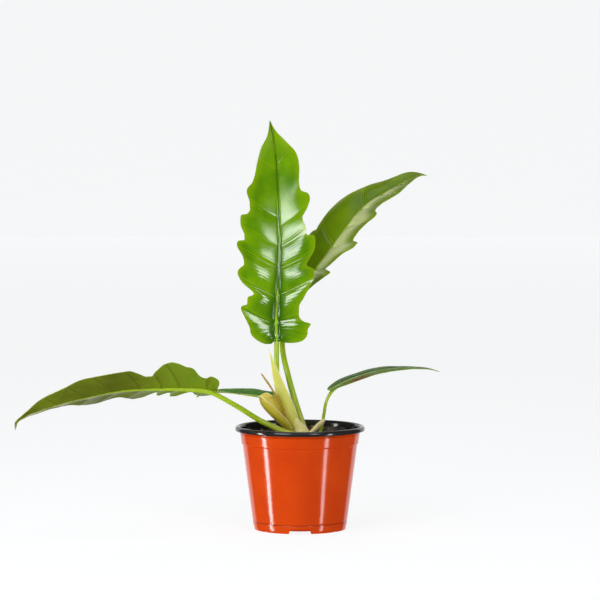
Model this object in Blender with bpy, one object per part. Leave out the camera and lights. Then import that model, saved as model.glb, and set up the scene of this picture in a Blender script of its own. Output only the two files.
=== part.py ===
"""Young philodendron with five leaves in a two-tone thermoformed nursery pot.

Units below are millimetres and degrees unless a name says otherwise; they become metres where a
mesh is made. +Z is up, the origin is on the ground at the middle of the pot's foot, and -Y is the
plant's front. A leaf has its own flat frame: "along" runs up the midrib from the stalk to the
tip, and "across" runs from the midrib to the margin.
"""

import math

import bmesh
import bpy
import numpy as np
from mathutils import Matrix, Vector

MM = 0.001
GAP = 0.35  # free space between two pieces that touch

# Pot: a nominal 6 inch azalea pot, taken at the outside of its rolled rim
RIM_RADIUS = 76.0
POT_HEIGHT = 121.0
FOOT_RADIUS = 54.5
WALL = 1.2
BAND_TOP = 10.0
COLLAR_BOTTOM = 99.5
COLLAR_TOP = 113.3
BODY_FOOT_RADIUS = 55.6
BODY_TOP_RADIUS = 67.2
COLLAR_RADIUS = 68.3
NECK_RADIUS = 70.6
FLOOR_HEIGHT = 5.6  # underside of the raised ring that drains to the gaps
FLOOR_RADIUS = 45.6
PAD_RADIUS = 30.0  # flat disc in the middle, level with the foot
POT_SIDES = 48
DRAIN_WIDTH_TOP = 22.0
DRAIN_WIDTH_BOTTOM = 27.0
DRAIN_HEIGHT = 5.4
DRAIN_ANGLES = (0, 90, 180, 270)
NICK_WIDTH = 6.5
NICK_HEIGHT = 2.2
NICK_ANGLES = (49, 131, 229, 311)

# Potting mix and crown
SOIL_LEVEL = 106.6
SOIL_TILT = 3.2  # how much higher the mix stands at the right-hand wall than in the middle
SOIL_BANK = 5.0  # height of the bank behind the crown
CROWN_TOP = 109.4
CROWN_DEPTH = 38.0
CROWN_RADIUS = 10.2
ROOT_COUNT = 6
ROOT_RADIUS = 2.3

LEAF_THICKNESS = 0.8
SHEATH_THICKNESS = 1.1
VEIN_SLANT = 0.45  # how far a side vein climbs along the leaf for each step across it
VEIN_STEPS = 100  # stations on a midrib where a row of the grid can start
ACROSS_STEPS = (0.0, 0.3, 0.66, 1.0)
TUBE_SIDES_LEVEL = 2  # bevel resolution: eight sides

# Each leaf: midrib points from stalk to tip, the way its upper face looks at both ends, the fold
# of each half beside the midrib and at the margin, and both margins as (along, across) points.
UPRIGHT_LEAF = {
    "stalk": [(-8.6, 5, 111.3), (-10, 5.5, 115), (-19, 7, 134), (-25.5, 10, 156), (-27.3, 12, 190)],
    "stalk_radii": (3.6, 2.9),
    "midrib": [(-27, 15, 218), (-28, 17, 244), (-26, 20, 272), (-25, 23, 296), (-24, 31, 337),
               (-26, 41, 378), (-28, 55, 425), (-32, 68, 460), (-36, 76, 478)],
    "faces": [(0.0, -1.0, 0.1), (0.0, -1.0, 0.1)],
    "left_fold": (16, 2),
    "right_fold": (20, 4),
    "left": [(1, 4), (-2, 8), (-2, 14), (3, 24), (11, 31), (18, 32), (27, 37), (36, 43), (41, 36),
             (49, 36), (55, 29), (69, 44), (79, 49), (85, 46), (89, 42), (96, 43), (114, 51),
             (118, 50), (120, 42), (126, 42), (141, 46), (151, 45), (153, 37), (158, 34),
             (166, 34), (178, 37), (190, 30), (215, 23), (233, 17), (250, 7)],
    "right": [(1, 3), (-1, 9), (-2, 20), (0, 31), (6, 37), (13, 38), (20, 42), (24, 33),
              (32, 27.5), (44, 27), (54, 32), (66, 38), (79, 43), (86, 42), (91, 33), (109, 42),
              (119, 43), (123, 42), (125, 33), (134, 32), (144, 29), (155, 35), (167, 39),
              (174, 37), (178, 29), (190, 27), (206, 28), (221, 26), (238, 15), (253, 5)],
}
RIGHT_LEAF = {
    "stalk": [(5.8, 6.4, 111.3), (4.9, 6.9, 115), (-4.4, 12, 144), (-14, 20, 178), (-20.5, 31, 208),
              (-19.5, 41, 240)],
    "stalk_radii": (4.2, 3.0),
    "midrib": [(-8, 49, 268), (18, 56, 301), (44, 65, 336), (78, 80, 377), (110, 92, 396),
               (147, 104, 412), (153, 107, 411.5)],
    "faces": [(-0.73, -0.53, 0.43), (-0.35, -0.53, 0.77)],
    "left_fold": (16, -2),
    "right_fold": (14, -4),
    "left": [(-3, 4), (-7, 12), (-5, 26), (6, 38), (26, 44), (48, 47), (70, 45), (84, 42),
             (88, 38), (93, 39), (113, 40), (130, 37), (150, 28), (170, 23), (190, 16), (212, 10),
             (224, 4)],
    "right": [(-2, 4), (-4, 9), (-2, 15), (6, 19), (20, 22), (36, 29), (46, 35), (48, 22),
              (58, 27), (72, 34), (85, 43), (91, 43), (92, 32), (102, 30), (118, 34), (130, 38),
              (135, 37), (138, 31), (146, 26), (157, 23), (172, 23), (188, 20), (204, 11), (218, 4)],
}
LEFT_LEAF = {
    "stalk": [(-4, -15, 110.6), (-14, -15.6, 113.6), (-26, -16.4, 118.6), (-44, -18, 127.3),
              (-70, -24.5, 144), (-88, -30.5, 155)],
    "stalk_radii": (3.8, 2.9),
    "midrib": [(-96, -33, 163.5), (-127, -42, 168), (-167, -52, 169), (-207, -60, 167),
               (-241, -66, 161), (-275, -72, 153), (-302, -76, 145), (-316, -78, 138),
               (-325, -79, 131), (-326, -79, 123)],
    "faces": [(0.0, 0.47, 0.88), (0.0, 0.47, 0.88)],
    "left_fold": (14, 14),
    "right_fold": (12, 4),
    "left": [(1, 4), (1, 9), (2, 16), (6, 22), (15, 26), (20, 21), (26, 23), (36, 36),
             (46, 41), (54, 47), (62, 50), (69, 47), (74, 38), (78, 30), (80, 23), (86, 22),
             (96, 29), (107, 36), (135, 35), (161, 33), (178, 28), (197, 21), (214, 12),
             (228, 6), (243, 1.5)],
    "right": [(0, 4), (-2, 10), (0, 18), (6, 25), (12, 29), (19, 26), (27, 16), (33, 24),
              (41, 36), (48, 38), (53, 24), (58, 31), (63, 38), (70, 24), (76, 33), (84, 43),
              (93, 45), (103, 37), (114, 31), (127, 36), (139, 41), (150, 39), (161, 29),
              (174, 20), (192, 17), (208, 12), (226, 6), (243, 1.5)],
}
REAR_LEAF = {
    "stalk": [(-2, 14, 111.3), (-2.6, 14.6, 114), (-8, 21, 128), (-15, 28, 141)],
    "stalk_radii": (3.2, 2.2),
    "midrib": [(-25, 36, 151), (-51, 60, 151), (-72, 85, 151), (-97, 115, 150), (-116, 138, 146),
               (-127, 150, 140)],
    "faces": [(0.1, -0.2, 1.0), (0.1, -0.2, 1.0)],
    "left_fold": (14, 4),
    "right_fold": (14, 4),
    "left": [(0, 3), (2, 7), (12, 12), (32, 17), (62, 20), (92, 17), (116, 12), (136, 6),
             (150, 2)],
    "right": [(0, 3), (2, 7), (12, 12), (32, 17), (62, 20), (92, 17), (116, 12), (136, 6),
              (150, 2)],
}
SMALL_LEAF = {
    "stalk": [(14.5, 2, 103), (21, 1, 108), (24.5, 0, 116), (28, 0, 134), (31.5, 1, 151)],
    "stalk_radii": (2.3, 1.8),
    "midrib": [(34, 2, 162), (43, 7, 167), (60, 18, 174), (83, 32, 180.5), (109, 48, 184),
               (137, 61, 183.6), (155, 69, 181.6), (167, 73, 178)],
    "faces": [(-0.1, -0.1, 1.0), (0.0, -0.1, 1.0)],
    "slack": 0.6,
    "left_fold": (7, 0),
    "right_fold": (-4, -6),
    "left": [(0, 3), (2, 6), (12, 10), (32, 13), (62, 13.5), (92, 11), (116, 7.5), (136, 4),
             (149, 1.5)],
    "right": [(0, 3), (2, 5), (12, 8.5), (32, 12), (62, 13), (92, 11), (116, 7.5), (136, 4),
              (149, 1.5)],
}
LEAVES = {
    "upright_leaf": UPRIGHT_LEAF,
    "right_leaf": RIGHT_LEAF,
    "left_leaf": LEFT_LEAF,
    "rear_leaf": REAR_LEAF,
    "small_leaf": SMALL_LEAF,
}

# Sheaths that once wrapped a new leaf: folded strips, blunt where they clasp the crown
TALL_SHEATH = {
    "midrib": [(-0.5, -7, 111), (-6, -7.5, 127), (-12, -8, 139), (-24, -10, 168), (-33, -11.5, 200),
               (-36.5, -12, 214)],
    "faces": [(0.2, 1.0, 0.2), (0.2, 1.0, 0.2)],
    "left_fold": (10, 60),
    "right_fold": (10, 60),
    "left": [(0, 7), (20, 9), (40, 8.5), (60, 6.5), (80, 4), (98, 1.2)],
    "right": [(0, 7), (20, 9), (40, 8.5), (60, 6.5), (80, 4), (98, 1.2)],
}
HOODED_SHEATH = {
    "midrib": [(-12, -5, 108.5), (-13.5, -5.5, 113), (-18, -6.5, 118), (-26, -8.5, 125.5),
               (-36.5, -12, 136), (-46, -16, 149), (-48, -17, 157)],
    "faces": [(0.8, -0.1, 0.6), (0.7, -0.2, 0.7)],
    "left_fold": (30, 85),
    "right_fold": (30, 85),
    "left": [(0, 6), (14, 11), (28, 13), (44, 12.5), (58, 10), (63, 5)],
    "right": [(0, 6), (14, 9), (28, 11), (44, 12), (58, 10), (63, 5)],
}
SMALL_SHEATH = {
    "midrib": [(12, -7.5, 112.5), (18, -8, 119), (29.5, -7, 129.5)],
    "faces": [(0.3, 1.0, 0.0), (0.3, 1.0, 0.0)],
    "left_fold": (25, 60),
    "right_fold": (25, 60),
    "left": [(0, 2.6), (8, 3.0), (16, 2.8), (22, 1.6)],
    "right": [(0, 2.6), (8, 3.0), (16, 2.8), (22, 1.6)],
}
DRY_SPIKE = [(-13, -11, 126), (-19, -12.3, 138), (-25, -13, 151), (-34, -14, 167), (-45, -15, 183)]
DRY_SPIKE_RADII = (1.5, 0.4)

COLOURS = {
    "pot": ((0.55, 0.045, 0.004), 0.28),
    "mix": ((0.03, 0.022, 0.016), 0.95),
    "blade": ((0.13, 0.29, 0.01), 0.3),
    "stalk": ((0.30, 0.42, 0.03), 0.45),
    "sheath": ((0.50, 0.48, 0.08), 0.55),
    "dry_sheath": ((0.35, 0.24, 0.04), 0.7),
    "root": ((0.45, 0.36, 0.22), 0.8),
}


def clear_scene():
    for obj in list(bpy.data.objects):
        bpy.data.objects.remove(obj, do_unlink=True)


def material(slot):
    found = bpy.data.materials.get(slot)
    if found:
        return found
    colour, roughness = COLOURS[slot]
    made = bpy.data.materials.new(slot)
    made.use_nodes = True
    shader = made.node_tree.nodes["Principled BSDF"]
    shader.inputs["Base Color"].default_value = (*colour, 1.0)
    shader.inputs["Roughness"].default_value = roughness
    shader.inputs["Metallic"].default_value = 0.0
    return made


def add_mesh(name, bm, slot):
    """A named object from a bmesh that was built in millimetres."""
    bmesh.ops.scale(bm, vec=(MM, MM, MM), verts=bm.verts)
    bmesh.ops.recalc_face_normals(bm, faces=bm.faces)
    mesh = bpy.data.meshes.new(name)
    bm.to_mesh(mesh)
    bm.free()
    mesh.materials.append(material(slot))
    mesh.shade_smooth()
    mesh.set_sharp_from_angle(angle=math.radians(40))
    obj = bpy.data.objects.new(name, mesh)
    bpy.context.scene.collection.objects.link(obj)
    return obj


def make_helper(obj):
    """A cutter or a joined-in shape, which isn't a piece of its own."""
    obj.hide_render = True
    obj.display_type = "WIRE"


def combine(obj, helper, operation):
    make_helper(helper)
    modifier = obj.modifiers.new(helper.name, "BOOLEAN")
    modifier.operation = operation
    modifier.solver = "EXACT"
    modifier.object = helper


# Curves


def slopes(stations, values, keep_flat):
    """Slope at each point; keep_flat levels it at every peak and dip, so nothing overshoots."""
    step = np.diff(stations)
    rise = np.diff(values, axis=0) / step[:, None]
    found = np.empty_like(values)
    found[0], found[-1] = rise[0], rise[-1]
    before, after = rise[:-1], rise[1:]
    weight = (step[:-1] / (step[:-1] + step[1:]))[:, None]
    found[1:-1] = before * (1 - weight) + after * weight
    if keep_flat:
        turning = before * after <= 0
        limit = 3 * np.minimum(abs(before), abs(after))
        found[1:-1] = np.where(turning, 0, np.clip(found[1:-1], -limit, limit))
    return found


def through(stations, values, wanted, keep_flat=False):
    """A smooth curve through values at stations, read at the wanted stations."""
    stations = np.asarray(stations, float)
    values = np.asarray(values, float).reshape(len(stations), -1)
    slope = slopes(stations, values, keep_flat)
    span = np.clip(np.searchsorted(stations, wanted, side="right") - 1, 0, len(stations) - 2)
    width = (stations[span + 1] - stations[span])[:, None]
    t = np.clip((wanted - stations[span])[:, None] / width, 0, 1)
    start, end = values[span], values[span + 1]
    from_start = (1 + 2 * t) * (1 - t) ** 2 * start + t * (1 - t) ** 2 * width * slope[span]
    from_end = t * t * (3 - 2 * t) * end + t * t * (t - 1) * width * slope[span + 1]
    return from_start + from_end


def lengths(points):
    steps = np.linalg.norm(np.diff(points, axis=0), axis=1)
    return np.concatenate([[0], np.cumsum(steps)])


def unit(vectors):
    return vectors / np.linalg.norm(vectors, axis=-1, keepdims=True)


class Spine:
    """A midrib in space: where it runs, and which way the upper face looks along it."""

    SAMPLES = 200

    def __init__(self, points, faces):
        points = np.asarray(points, float)
        rough = lengths(points)
        fine = np.linspace(0, rough[-1], self.SAMPLES)
        self.line = through(rough, points, fine)
        self.stations = lengths(self.line)
        self.length = self.stations[-1]
        along = unit(np.gradient(self.line, self.stations, axis=0))
        share = (self.stations / self.length)[:, None]
        look = np.asarray(faces[0], float) * (1 - share) + np.asarray(faces[1], float) * share
        look = unit(look - (look * along).sum(1, keepdims=True) * along)
        self.along, self.up = along, look
        self.right = unit(np.cross(along, look))

    def read(self, values, station):
        station = np.clip(station, 0, self.length)
        columns = [np.interp(station, self.stations, values[:, i]) for i in range(3)]
        return np.stack(columns, axis=-1)

    def point(self, station):
        beyond = station - np.clip(station, 0, self.length)
        return self.read(self.line, station) + beyond[..., None] * self.read(self.along, station)


def folded(across, fold, half_width):
    """Where a point across the leaf ends up sideways and upwards when its half is folded."""
    start, end = np.radians(fold[0]), np.radians(fold[1])
    bend = (end - start) / half_width
    if abs(bend) < 1e-6:
        return across * math.cos(start), across * math.sin(start)
    turned = start + bend * across
    sideways = (np.sin(turned) - math.sin(start)) / bend
    upwards = (math.cos(start) - np.cos(turned)) / bend
    return sideways, upwards


def margin_rows(margin, length, blunt):
    """The points of one margin, and the station on the midrib that each is fed from."""
    points = [] if blunt else [(0.0, 0.0)]
    points += margin + [(length, 0.0)]
    rows = []
    for along, across in points:
        row = round((along - VEIN_SLANT * across) / length * VEIN_STEPS)
        rows.append(max(row, rows[-1] + 1) if rows else 0)
    free = VEIN_STEPS
    for i in reversed(range(len(rows))):
        rows[i] = min(rows[i], free)
        free = rows[i] - 1
    rows[-1] = VEIN_STEPS
    return rows, points


def leaf_surface(spec, blunt=False):
    """Grid of points: rows up the leaf, columns from the left margin to the right one."""
    spine = Spine(spec["midrib"], spec["faces"])
    margins = {side: margin_rows(spec[side], spine.length, blunt) for side in ("left", "right")}
    steps = np.array(sorted({row for rows, _ in margins.values() for row in rows}))
    roots = spine.length * steps / VEIN_STEPS
    columns = []
    for side, sign in (("left", -1), ("right", 1)):
        margin = through(*margins[side], steps, keep_flat=True)
        half_width = margin[:, 1].max()
        shares = ACROSS_STEPS[::-1] if side == "left" else ACROSS_STEPS[1:]
        for share in shares:
            along = roots + (margin[:, 0] - roots) * share
            sideways, upwards = folded(margin[:, 1] * share, spec[side + "_fold"], half_width)
            place = spine.point(along)
            place = place + sign * sideways[:, None] * spine.read(spine.right, along)
            columns.append(place + upwards[:, None] * spine.read(spine.up, along))
    return np.stack(columns, axis=1), spine


def add_sheet(name, spec, slot, thickness, blunt=False):
    """A thin closed blade from a leaf surface, thickened evenly about it."""
    grid, spine = leaf_surface(spec, blunt)
    bm = bmesh.new()
    verts = [[bm.verts.new(point) for point in row] for row in grid]
    for low, high in zip(verts, verts[1:]):
        for i in range(len(low) - 1):
            bm.faces.new((low[i], low[i + 1], high[i + 1], high[i]))
    bmesh.ops.remove_doubles(bm, verts=bm.verts, dist=0.02)
    obj = add_mesh(name, bm, slot)
    solid = obj.modifiers.new("thickness", "SOLIDIFY")
    solid.thickness = thickness * MM
    solid.offset = 0.0
    return obj, spine


def add_tube(name, points, radii, slot, steps):
    """A stalk or root: a tapering round rod with closed ends on a smooth line."""
    points = np.asarray(points, float)
    rough = lengths(points)
    wanted = np.linspace(0, rough[-1], steps)
    line = through(rough, points, wanted)
    thick = through(rough, radii, wanted, keep_flat=True)[:, 0]
    curve = bpy.data.curves.new(name, "CURVE")
    curve.dimensions = "3D"
    curve.bevel_depth = MM
    curve.bevel_resolution = TUBE_SIDES_LEVEL
    curve.use_fill_caps = True
    spline = curve.splines.new("POLY")
    spline.points.add(steps - 1)
    for knot, place, radius in zip(spline.points, line, thick):
        knot.co = (*(place * MM), 1.0)
        knot.radius = radius
    curve.materials.append(material(slot))
    obj = bpy.data.objects.new(name, curve)
    bpy.context.scene.collection.objects.link(obj)
    return obj


def as_mesh(obj):
    """Turns a curve object into a mesh object, so that a Boolean can use it."""
    bpy.context.view_layer.update()
    graph = bpy.context.evaluated_depsgraph_get()
    mesh = bpy.data.meshes.new_from_object(obj.evaluated_get(graph))
    name = obj.name
    bpy.data.objects.remove(obj, do_unlink=True)
    made = bpy.data.objects.new(name, mesh)
    bpy.context.scene.collection.objects.link(made)
    return made


# Pot and potting mix


def pot_wall_radius(height):
    """Inner radius of the pot's body and collar at a height."""
    heights = [BAND_TOP, COLLAR_BOTTOM, COLLAR_BOTTOM + 1.6, COLLAR_TOP]
    outer = [BODY_FOOT_RADIUS, BODY_TOP_RADIUS, COLLAR_RADIUS, NECK_RADIUS - 0.6]
    return float(np.interp(height, heights, outer)) - WALL


def pot_section():
    """The wall's closed outline as (radius, height), up the outside and down the inside."""
    lip = RIM_RADIUS
    top = POT_HEIGHT
    outside = [
        (FLOOR_RADIUS + 1.4, 0), (FOOT_RADIUS - 0.9, 0), (FOOT_RADIUS, 0.9),
        (FOOT_RADIUS + 0.7, BAND_TOP - 0.5), (BODY_FOOT_RADIUS, BAND_TOP + 0.6),
        (BODY_TOP_RADIUS, COLLAR_BOTTOM), (COLLAR_RADIUS, COLLAR_BOTTOM + 1.4),
        (NECK_RADIUS - 0.6, COLLAR_TOP - 1.0), (NECK_RADIUS, COLLAR_TOP + 0.4),
    ]
    rolled_rim = [
        (lip - 4.7, top - 3.4), (lip - 2.7, top - 2.5), (lip - 1.2, top - 5.5),
        (lip - 0.3, top - 5.6), (lip, top - 3.6), (lip - 0.9, top - 1.3), (lip - 2.9, top),
        (lip - 4.8, top - 0.7), (lip - 6.0, top - 2.8),
    ]
    inside = [
        (NECK_RADIUS - WALL, COLLAR_TOP - 0.4), (COLLAR_RADIUS - WALL, COLLAR_BOTTOM + 1.8),
        (BODY_TOP_RADIUS - WALL, COLLAR_BOTTOM + 0.4), (BODY_FOOT_RADIUS - WALL, BAND_TOP + 0.4),
        (FOOT_RADIUS - WALL - 0.4, WALL), (FLOOR_RADIUS + 1.9, WALL),
        (FLOOR_RADIUS + 0.7, FLOOR_HEIGHT + WALL), (PAD_RADIUS + 0.7, FLOOR_HEIGHT + WALL),
        (PAD_RADIUS - 0.5, WALL),
    ]
    return outside + rolled_rim + inside


def ring_points(bm, radius, height):
    made = []
    for i in range(POT_SIDES):
        turn = 2 * math.pi * i / POT_SIDES
        x, y = radius * math.cos(turn), radius * math.sin(turn)
        z = height(x, y) if callable(height) else height
        made.append(bm.verts.new((x, y, z)))
    return made


def bridge(bm, low, high):
    for i in range(POT_SIDES):
        j = (i + 1) % POT_SIDES
        bm.faces.new((low[i], low[j], high[j], high[i]))


def cap(bm, ring, height):
    middle = bm.verts.new((0, 0, height))
    for i in range(POT_SIDES):
        bm.faces.new((ring[i], ring[(i + 1) % POT_SIDES], middle))


def drain_cutter(name, angle, top, bottom, height):
    """A wedge that cuts one drain gap through the foot, its sides sloping in towards the top."""
    bm = bmesh.new()
    inner, outer, below = FLOOR_RADIUS - 1.5, FOOT_RADIUS + 4, -1.0
    corners = []
    for reach in (-outer, -inner):
        for half, level in ((bottom / 2, below), (top / 2, height)):
            corners.append(bm.verts.new((-half, reach, level)))
            corners.append(bm.verts.new((half, reach, level)))
    for face in ((0, 1, 3, 2), (4, 6, 7, 5), (0, 4, 5, 1), (2, 3, 7, 6), (0, 2, 6, 4), (1, 5, 7, 3)):
        bm.faces.new([corners[i] for i in face])
    bmesh.ops.rotate(bm, verts=bm.verts, matrix=Matrix.Rotation(math.radians(angle), 3, "Z"))
    return add_mesh(name, bm, "pot")


def add_pot():
    bm = bmesh.new()
    section = pot_section()
    rings = [ring_points(bm, radius, height) for radius, height in section]
    for low, high in zip(rings, rings[1:]):
        bridge(bm, low, high)
    cap(bm, rings[-1], WALL)
    under = rings[0]
    for radius, height in (
        (FLOOR_RADIUS, FLOOR_HEIGHT), (PAD_RADIUS + 1.4, FLOOR_HEIGHT), (PAD_RADIUS, 0)
    ):
        ring = ring_points(bm, radius, height)
        bridge(bm, ring, under)
        under = ring
    cap(bm, under, 0)
    pot = add_mesh("nursery_pot", bm, "pot")
    for angle in DRAIN_ANGLES:
        cutter = drain_cutter(
            f"drain_cut_{angle}", angle, DRAIN_WIDTH_TOP, DRAIN_WIDTH_BOTTOM, DRAIN_HEIGHT
        )
        combine(pot, cutter, "DIFFERENCE")
    for angle in NICK_ANGLES:
        cutter = drain_cutter(
            f"nick_cut_{angle}", angle, NICK_WIDTH / 3, NICK_WIDTH, NICK_HEIGHT
        )
        combine(pot, cutter, "DIFFERENCE")


def soil_height(x, y):
    """Top of the potting mix: a little higher to the right, and banked up behind the crown."""
    lumps = 0.5 * math.sin(x / 9.0) * math.cos(y / 11.0)
    bank = SOIL_BANK * (0.5 + 0.5 * math.tanh((y - 32.0) / 10.0))
    return SOIL_LEVEL + SOIL_TILT * x / 65.0 + 0.8 * y / 65.0 + lumps + bank


def add_potting_mix():
    bm = bmesh.new()
    bottom = ring_points(bm, PAD_RADIUS - 2, WALL + GAP)
    cap(bm, bottom, WALL + GAP)
    base = FLOOR_HEIGHT + WALL + GAP
    rings = [bottom, ring_points(bm, PAD_RADIUS - 0.4, base)]
    rings.append(ring_points(bm, pot_wall_radius(BAND_TOP) - 1.5, base))
    for height in (14.0, COLLAR_BOTTOM - 0.5):
        rings.append(ring_points(bm, pot_wall_radius(height) - GAP, height))
    edge_radius = pot_wall_radius(COLLAR_BOTTOM) - GAP
    for radius in (edge_radius, 52, 38, 24, 12):
        rings.append(ring_points(bm, radius, soil_height))
    for low, high in zip(rings, rings[1:]):
        bridge(bm, low, high)
    cap(bm, rings[-1], soil_height(0, 0))
    return add_mesh("potting_mix", bm, "mix")


def crown_shape(name, grow):
    """The short stem that carries the leaves: a turned lump with a flat top."""
    top = CROWN_TOP
    section = [
        (0, top + grow), (CROWN_RADIUS * 0.86 + grow, top + grow),
        (CROWN_RADIUS + grow, top - 4), (CROWN_RADIUS * 0.92 + grow, top - 14),
        (CROWN_RADIUS * 0.8 + grow, top - 24), (CROWN_RADIUS * 0.45 + grow, top - CROWN_DEPTH),
        (0, top - CROWN_DEPTH - grow),
    ]
    bm = bmesh.new()
    verts = [bm.verts.new((radius, 0, height)) for radius, height in section]
    edges = [bm.edges.new(pair) for pair in zip(verts, verts[1:])]
    bmesh.ops.spin(
        bm, geom=verts + edges, cent=(0, 0, 0), axis=(0, 0, 1), angle=2 * math.pi, steps=16
    )
    bmesh.ops.remove_doubles(bm, verts=bm.verts, dist=0.01)
    return add_mesh(name, bm, "root")


def root_shape(name, index, grow):
    """One thick root: out of the crown, then down through the potting mix."""
    turn = 2 * math.pi * (index + 0.3) / ROOT_COUNT
    out = Vector((math.cos(turn), math.sin(turn), 0))
    aside = Vector((-math.sin(turn), math.cos(turn), 0))
    wander = 4 if index % 2 else -4
    drop = 6 * (index % 3)
    knots = []
    for reach, sway, height in ((4, 0, 92), (18, 0.2, 86), (32, 1, 70), (38, 0.3, 46), (37, -0.8, 24)):
        spot = out * reach + aside * sway * wander
        knots.append((spot.x, spot.y, height - drop))
    taper = np.linspace(ROOT_RADIUS, ROOT_RADIUS * 0.45, len(knots)) + grow
    return as_mesh(add_tube(name, knots, taper, "root", 9))


def add_crown_and_mix():
    crown = crown_shape("crown_with_roots", 0)
    mix = add_potting_mix()
    combine(mix, crown_shape("crown_socket", GAP), "DIFFERENCE")
    for i in range(ROOT_COUNT):
        combine(crown, root_shape(f"root_{i}", i, 0), "UNION")
        combine(mix, root_shape(f"root_socket_{i}", i, GAP), "DIFFERENCE")
    socket_line = [(13.6, 2.1, 102.4), *SMALL_LEAF["stalk"]]
    thick = [SMALL_LEAF["stalk_radii"][0] + GAP] * len(socket_line)
    combine(mix, as_mesh(add_tube("stalk_socket", socket_line, thick, "root", 12)), "DIFFERENCE")


# Leaves and sheaths


def add_leaf(name, spec):
    """The blade, and the stalk that runs on under it as its midrib."""
    blade, spine = add_sheet(name + "_blade", spec, "blade", LEAF_THICKNESS)
    foot, neck = spec["stalk_radii"]
    knots = list(spec["stalk"])
    radii = list(np.linspace(foot, neck, len(knots)))
    fold = math.radians(min(spec["left_fold"][0], spec["right_fold"][0]))
    for share in (0.03, 0.15, 0.3, 0.45, 0.6, 0.75, 0.88):
        station = np.array(share * spine.length)
        radius = neck * (1 - share) ** 0.8 + 0.25
        drop = (radius + LEAF_THICKNESS / 2 + GAP) / math.cos(fold) + spec.get("slack", 0.25)
        knots.append(spine.point(station) - drop * spine.read(spine.up, station))
        radii.append(radius)
    add_tube(name + "_stalk", knots, radii, "stalk", 22)


def add_sheaths():
    add_sheet("tall_sheath", TALL_SHEATH, "sheath", SHEATH_THICKNESS, blunt=True)
    add_sheet("hooded_sheath", HOODED_SHEATH, "sheath", SHEATH_THICKNESS, blunt=True)
    add_sheet("small_sheath", SMALL_SHEATH, "sheath", SHEATH_THICKNESS, blunt=True)
    radii = np.linspace(*DRY_SPIKE_RADII, len(DRY_SPIKE))
    add_tube("dry_sheath", DRY_SPIKE, radii, "dry_sheath", 8)


def main():
    clear_scene()
    add_pot()
    add_crown_and_mix()
    for name, spec in LEAVES.items():
        add_leaf(name, spec)
    add_sheaths()


main()
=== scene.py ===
import math

import bpy
import numpy as np
from mathutils import Matrix, Vector


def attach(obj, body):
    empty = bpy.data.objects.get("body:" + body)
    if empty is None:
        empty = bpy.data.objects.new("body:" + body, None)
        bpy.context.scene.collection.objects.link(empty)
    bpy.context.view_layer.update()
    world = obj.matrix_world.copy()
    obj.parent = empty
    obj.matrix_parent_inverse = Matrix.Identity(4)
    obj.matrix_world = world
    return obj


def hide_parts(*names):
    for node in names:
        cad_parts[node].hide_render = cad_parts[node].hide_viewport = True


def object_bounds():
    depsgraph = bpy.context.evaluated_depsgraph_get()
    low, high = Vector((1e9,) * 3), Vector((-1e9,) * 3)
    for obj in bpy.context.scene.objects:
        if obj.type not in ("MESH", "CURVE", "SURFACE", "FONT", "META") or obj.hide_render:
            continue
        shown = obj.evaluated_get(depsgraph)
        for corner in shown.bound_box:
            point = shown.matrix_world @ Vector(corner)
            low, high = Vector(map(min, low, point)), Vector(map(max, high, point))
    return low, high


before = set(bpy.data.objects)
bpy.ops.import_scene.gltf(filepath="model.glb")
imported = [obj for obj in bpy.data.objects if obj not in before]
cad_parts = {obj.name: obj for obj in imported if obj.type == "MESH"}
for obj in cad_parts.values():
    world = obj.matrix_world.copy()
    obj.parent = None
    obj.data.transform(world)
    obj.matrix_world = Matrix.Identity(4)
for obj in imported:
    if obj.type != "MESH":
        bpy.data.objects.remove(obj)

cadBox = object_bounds()
mm = 0.001
print("potted philodendron: frame loaded")


# A node socket that plain sums work on, so that a pattern reads as arithmetic
class Wire:
    def __init__(self, finish, socket):
        self.finish, self.socket = finish, socket

    def reckon(self, operation, *others):
        sockets = dict(enumerate((self, *others)))
        return self.finish.node("ShaderNodeMath", {"operation": operation}, sockets)

    def __add__(self, other):
        return self.reckon("ADD", other)

    def __mul__(self, other):
        return self.reckon("MULTIPLY", other)

    def __pow__(self, other):
        return self.reckon("POWER", other)

    __radd__, __rmul__ = __add__, __mul__

    def wave(self):
        return self.reckon("SINE")

    def ramp(self, low, high, start, end):
        settings = {"interpolation_type": "SMOOTHSTEP", "clamp": True}
        sockets = {0: self, 1: low, 2: high, 3: start, 4: end}
        return self.finish.node("ShaderNodeMapRange", settings, sockets)

    # 1 where the value is at or below low, falling softly to 0 at high
    def below(self, low, high):
        return self.ramp(low, high, 1.0, 0.0)

    # 0 where the value is at or below low, rising softly to 1 at high
    def above(self, low, high):
        return self.ramp(low, high, 0.0, 1.0)


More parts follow.
